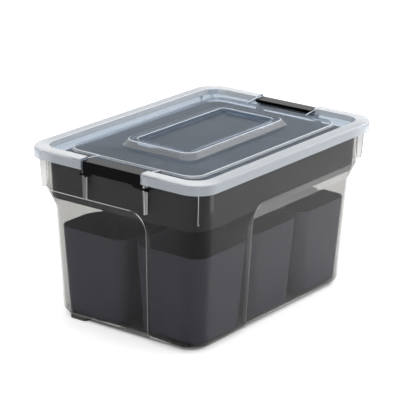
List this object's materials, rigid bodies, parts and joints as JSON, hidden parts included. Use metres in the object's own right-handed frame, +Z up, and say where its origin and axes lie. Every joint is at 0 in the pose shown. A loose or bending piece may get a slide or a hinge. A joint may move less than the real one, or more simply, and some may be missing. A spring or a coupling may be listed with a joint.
{
  "type": "clip lid storage box",
  "caption": "Clear storage box with drafted walls, a frosted lid held by dark swing clips, a divided insert tray and loose open cups that stand on its floor.",
  "frame": {"origin": "on the ground under the centre of the box", "axes": "+X along the length from clip to clip, +Y across the width, +Z up"},
  "size_m": [0.425, 0.303, 0.253],
  "materials": {
    "tub_plastic": "clear moulded polypropylene, slightly milky",
    "lid_plastic": "frosted bluish-white moulded plastic",
    "clip_plastic": "black moulded plastic with a fine brushed grain",
    "tray_plastic": "charcoal moulded plastic",
    "cup_plastic": "charcoal blue-grey moulded plastic"
  },
  "bodies": {
    "tub": {"tub": "tub_plastic"},
    "lid": {"lid": "lid_plastic"},
    "clip_left": {"clip_left": "clip_plastic"},
    "clip_right": {"clip_right": "clip_plastic"},
    "tray": {"tray": "tray_plastic"},
    "cup_1": {"cup_1": "cup_plastic"},
    "cup_2": {"cup_2": "cup_plastic"},
    "cup_3": {"cup_3": "cup_plastic"},
    "cup_4": {"cup_4": "cup_plastic"},
    "cup_5": {"cup_5": "cup_plastic"},
    "cup_6": {"cup_6": "cup_plastic"}
  },
  "joints": [
    {"name": "lid_lift", "type": "slide", "parent": "tub", "child": "lid", "axis": [0, 0, 1], "range_m": [0, 0.02]},
    {"name": "clip_left_swing", "type": "hinge", "parent": "tub", "child": "clip_left", "pos_m": [-0.205, 0, 0.2255], "axis": [0, -1, 0], "range_deg": [0, 105]},
    {"name": "clip_right_swing", "type": "hinge", "parent": "tub", "child": "clip_right", "pos_m": [0.205, 0, 0.2255], "axis": [0, 1, 0], "range_deg": [0, 105]},
    {"name": "tray_lift", "type": "slide", "parent": "tub", "child": "tray", "axis": [0, 0, 1], "range_m": [0, 0.0045]},
    {"name": "cup_1_lift", "type": "slide", "parent": "tub", "child": "cup_1", "axis": [0, 0, 1], "range_m": [0, 0.04]},
    {"name": "cup_2_lift", "type": "slide", "parent": "tub", "child": "cup_2", "axis": [0, 0, 1], "range_m": [0, 0.04]},
    {"name": "cup_3_lift", "type": "slide", "parent": "tub", "child": "cup_3", "axis": [0, 0, 1], "range_m": [0, 0.04]},
    {"name": "cup_4_lift", "type": "slide", "parent": "tub", "child": "cup_4", "axis": [0, 0, 1], "range_m": [0, 0.04]},
    {"name": "cup_5_lift", "type": "slide", "parent": "tub", "child": "cup_5", "axis": [0, 0, 1], "range_m": [0, 0.04]},
    {"name": "cup_6_lift", "type": "slide", "parent": "tub", "child": "cup_6", "axis": [0, 0, 1], "range_m": [0, 0.04]}
  ],
  "couplings": [
    {"joint": "clip_left_swing", "follows": "lid_lift", "rad_per_m": 91.6},
    {"joint": "clip_right_swing", "follows": "lid_lift", "rad_per_m": 91.6}
  ]
}
